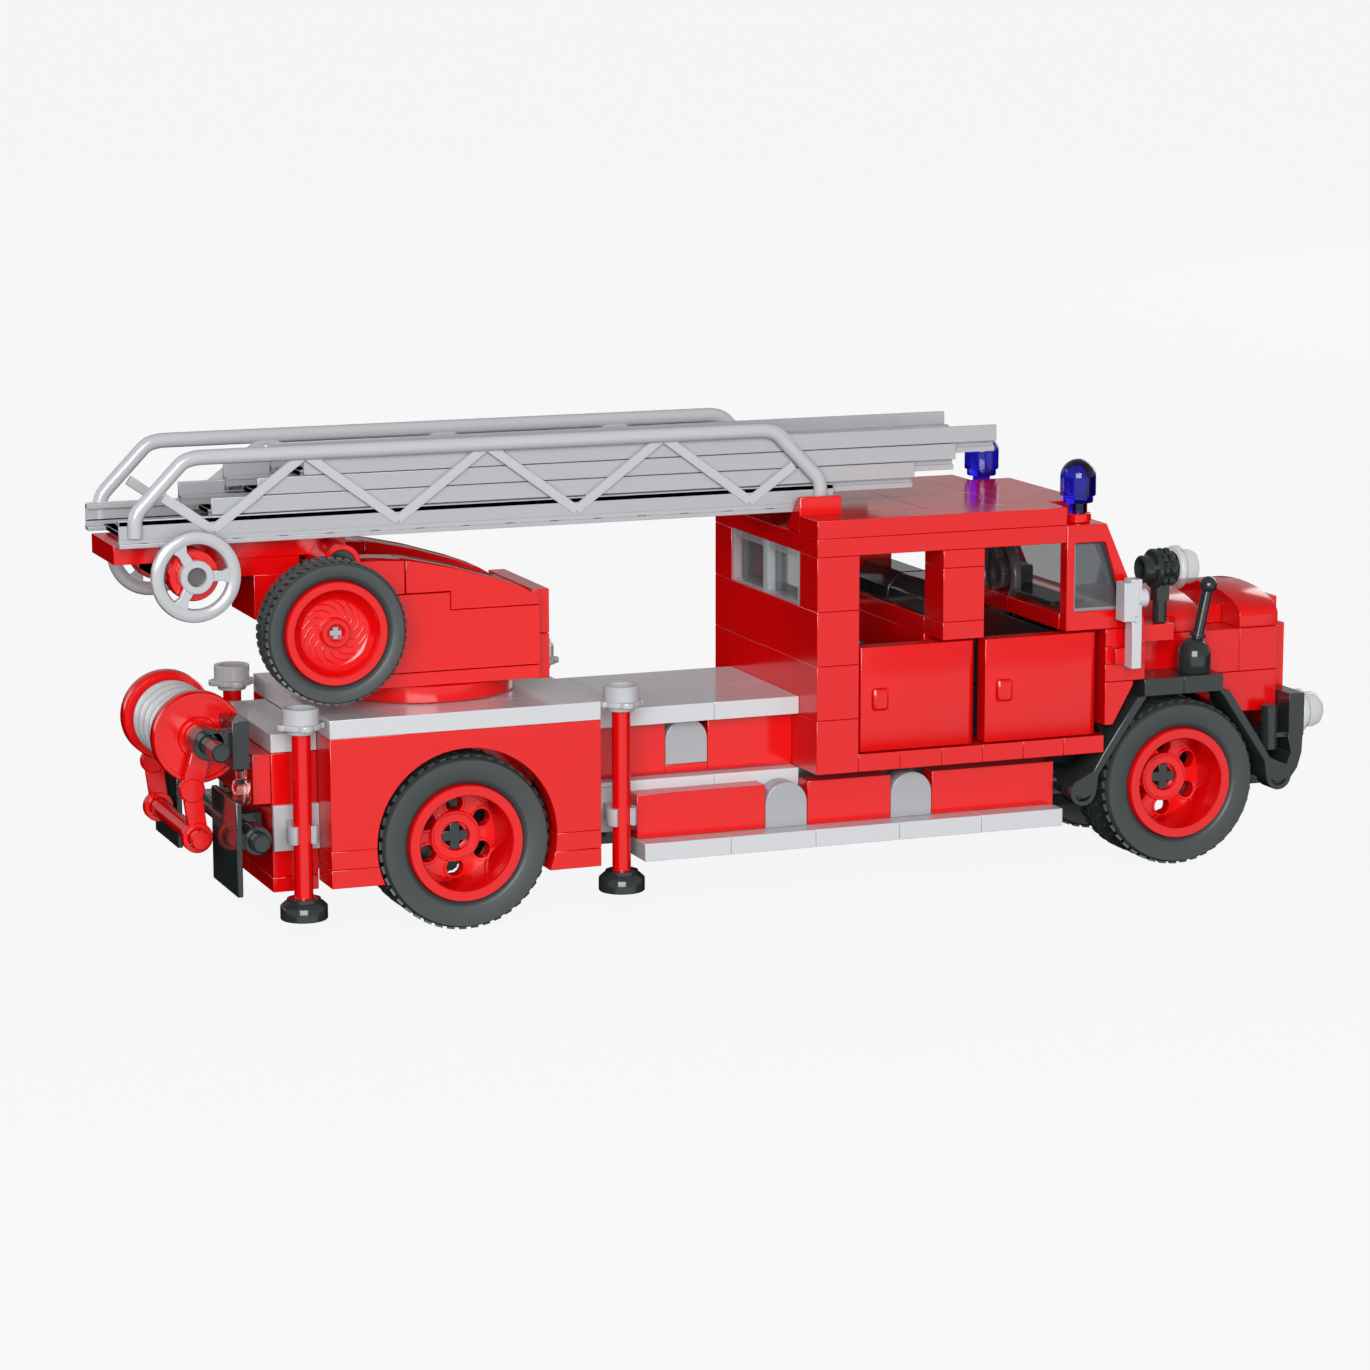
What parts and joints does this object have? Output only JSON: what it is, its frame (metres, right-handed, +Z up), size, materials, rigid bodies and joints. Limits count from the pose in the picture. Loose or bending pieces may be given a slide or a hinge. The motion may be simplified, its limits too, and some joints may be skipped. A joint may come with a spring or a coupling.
{
  "type": "toy fire engine",
  "caption": "Toy vintage fire engine built from interlocking bricks, with opening cab doors, a slewing turret, a telescoping ladder, a hose reel and sliding jacks.",
  "frame": {"origin": "on the floor, under the middle of the overall length and width", "axes": "+X towards the bonnet and headlamps, +Y the engine's left side, +Z up"},
  "size_m": [0.2246, 0.058, 0.0831],
  "materials": {
    "red": "bright red moulded ABS, glossy",
    "grey": "light bluish-grey moulded ABS, glossy",
    "light": "light bluish-grey moulded ABS, glossy",
    "black": "black moulded ABS, glossy",
    "rubber": "matt black moulded rubber",
    "clear": "clear moulded polycarbonate",
    "blue": "transparent dark blue moulded polycarbonate",
    "pink": "transparent pale red moulded polycarbonate"
  },
  "bodies": {
    "chassis": {"chassis_frame": "black", "running_boards": "grey", "lower_lockers": "red", "locker_arches": "grey", "step_tiles": "grey", "upper_lockers": "red", "rear_body": "red", "deck_tiles": "grey", "tail_wall": "red", "cab_rear_wall": "red", "cab_side_frames": "red", "cab_floor": "red", "cab_roof": "red", "ladder_cradles": "red", "windscreen_frame": "red", "cab_glass": "clear", "rear_windows": "clear", "seats": "black", "steering_wheel": "black", "cowl": "red", "hood": "red", "hood_curves": "red", "radiator_grille": "red", "front_fenders": "black", "bumper": "black", "headlight_lenses": "clear", "beacons": "blue", "reel_axle": "black", "searchlight_body": "black", "searchlight_lens": "clear", "mirrors": "light", "marker_poles": "black", "jack_clips": "grey", "reel_arms": "red", "tail_lights": "pink", "mud_flaps": "black"},
    "front_wheels": {"front_axle_shaft": "black", "front_rims": "red", "front_tyres": "rubber"},
    "rear_wheels": {"rear_axle_shaft": "black", "rear_rims": "red", "rear_tyres": "rubber"},
    "door_front_right": {"door_front_right": "red"},
    "door_rear_right": {"door_rear_right": "red"},
    "door_front_left": {"door_front_left": "red"},
    "door_rear_left": {"door_rear_left": "red"},
    "turret": {"turret_body": "red"},
    "side_wheel": {"side_wheel_rim": "red", "side_wheel_tyre": "rubber"},
    "ladder": {"ladder_base": "light", "ladder_carrier": "red", "hand_wheels": "light"},
    "section_2": {"ladder_section_2": "light"},
    "section_3": {"ladder_section_3": "light"},
    "section_4": {"ladder_section_4": "light"},
    "jack_front_right": {"jack_front_right": "red"},
    "jack_rear_right": {"jack_rear_right": "red"},
    "jack_front_left": {"jack_front_left": "red"},
    "jack_rear_left": {"jack_rear_left": "red"},
    "hose_reel": {"hose_reel": "light"}
  },
  "joints": [
    {"name": "front_axle_spin", "type": "hinge", "parent": "chassis", "child": "front_wheels", "pos_m": [0.0797, 0, 0.0152], "axis": [0, 1, 0], "continuous": true},
    {"name": "rear_axle_spin", "type": "hinge", "parent": "chassis", "child": "rear_wheels", "pos_m": [-0.0563, 0, 0.0152], "axis": [0, 1, 0], "continuous": true},
    {"name": "door_front_right_hinge", "type": "hinge", "parent": "chassis", "child": "door_front_right", "pos_m": [0.06066, -0.0224, 0.035], "axis": [0, 0, 1], "range_deg": [0, 90]},
    {"name": "door_front_left_hinge", "type": "hinge", "parent": "chassis", "child": "door_front_left", "pos_m": [0.06066, 0.0224, 0.035], "axis": [0, 0, -1], "range_deg": [0, 90]},
    {"name": "door_rear_right_hinge", "type": "hinge", "parent": "chassis", "child": "door_rear_right", "pos_m": [0.03666, -0.0224, 0.035], "axis": [0, 0, 1], "range_deg": [0, 90]},
    {"name": "door_rear_left_hinge", "type": "hinge", "parent": "chassis", "child": "door_rear_left", "pos_m": [0.03666, 0.0224, 0.035], "axis": [0, 0, -1], "range_deg": [0, 90]},
    {"name": "turret_slew", "type": "hinge", "parent": "chassis", "child": "turret", "pos_m": [-0.0567, 0, 0.0382], "axis": [0, 0, 1], "continuous": true},
    {"name": "side_wheel_spin", "type": "hinge", "parent": "turret", "child": "side_wheel", "pos_m": [-0.0787, 0, 0.05276], "axis": [0, 1, 0], "continuous": true},
    {"name": "ladder_lift", "type": "hinge", "parent": "turret", "child": "ladder", "pos_m": [-0.07542, 0, 0.06316], "axis": [0, -1, 0], "range_deg": [0, 38]},
    {"name": "section_2_slide", "type": "slide", "parent": "ladder", "child": "section_2", "axis": [1, 0, 0], "range_m": [0, 0.088]},
    {"name": "section_3_slide", "type": "slide", "parent": "section_2", "child": "section_3", "axis": [1, 0, 0], "range_m": [0, 0.088]},
    {"name": "section_4_slide", "type": "slide", "parent": "section_3", "child": "section_4", "axis": [1, 0, 0], "range_m": [0, 0.088]},
    {"name": "jack_front_right_slide", "type": "slide", "parent": "chassis", "child": "jack_front_right", "axis": [0, 0, -1], "range_m": [0, 0.0042]},
    {"name": "jack_front_left_slide", "type": "slide", "parent": "chassis", "child": "jack_front_left", "axis": [0, 0, -1], "range_m": [0, 0.0042]},
    {"name": "jack_rear_right_slide", "type": "slide", "parent": "chassis", "child": "jack_rear_right", "axis": [0, 0, -1], "range_m": [0, 0.0042]},
    {"name": "jack_rear_left_slide", "type": "slide", "parent": "chassis", "child": "jack_rear_left", "axis": [0, 0, -1], "range_m": [0, 0.0042]},
    {"name": "hose_reel_spin", "type": "hinge", "parent": "chassis", "child": "hose_reel", "pos_m": [-0.0995, 0, 0.03452], "axis": [0, 1, 0], "continuous": true}
  ]
}
